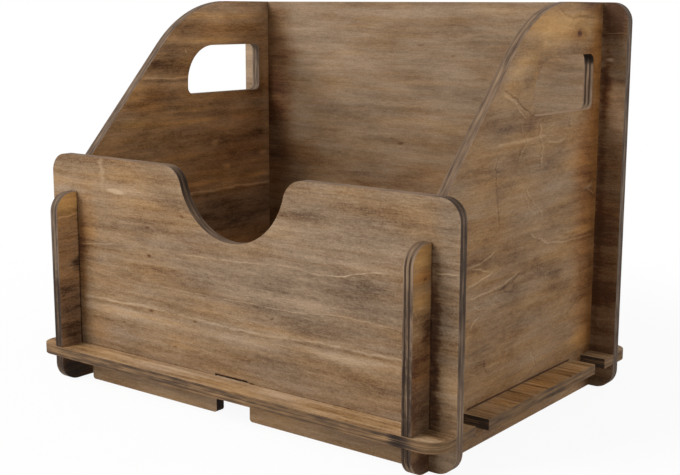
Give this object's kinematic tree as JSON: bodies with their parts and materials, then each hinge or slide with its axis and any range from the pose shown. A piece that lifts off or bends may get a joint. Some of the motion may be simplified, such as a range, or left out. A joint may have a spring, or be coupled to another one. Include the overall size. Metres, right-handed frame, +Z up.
{
  "type": "record storage crate",
  "caption": "Open-topped plywood crate for vinyl records, slotted together from flat panels, with a low scooped front, sloping sides and a hand hole in each side.",
  "frame": {"origin": "on the floor, midway between the side panels and midway between the front and back panels", "axes": "+X to the right as seen from the front, -Y out of the low scooped front, +Z up"},
  "size_m": [0.4, 0.291, 0.312],
  "materials": {
    "base_board": "stained birch plywood, satin",
    "front_board": "stained birch plywood, satin",
    "back_board": "stained birch plywood, satin",
    "side_board": "stained birch plywood, satin"
  },
  "bodies": {
    "root": {"base_panel": "base_board", "front_panel": "front_board", "back_panel": "back_board", "left_side_panel": "side_board", "right_side_panel": "side_board"}
  },
  "joints": []
}
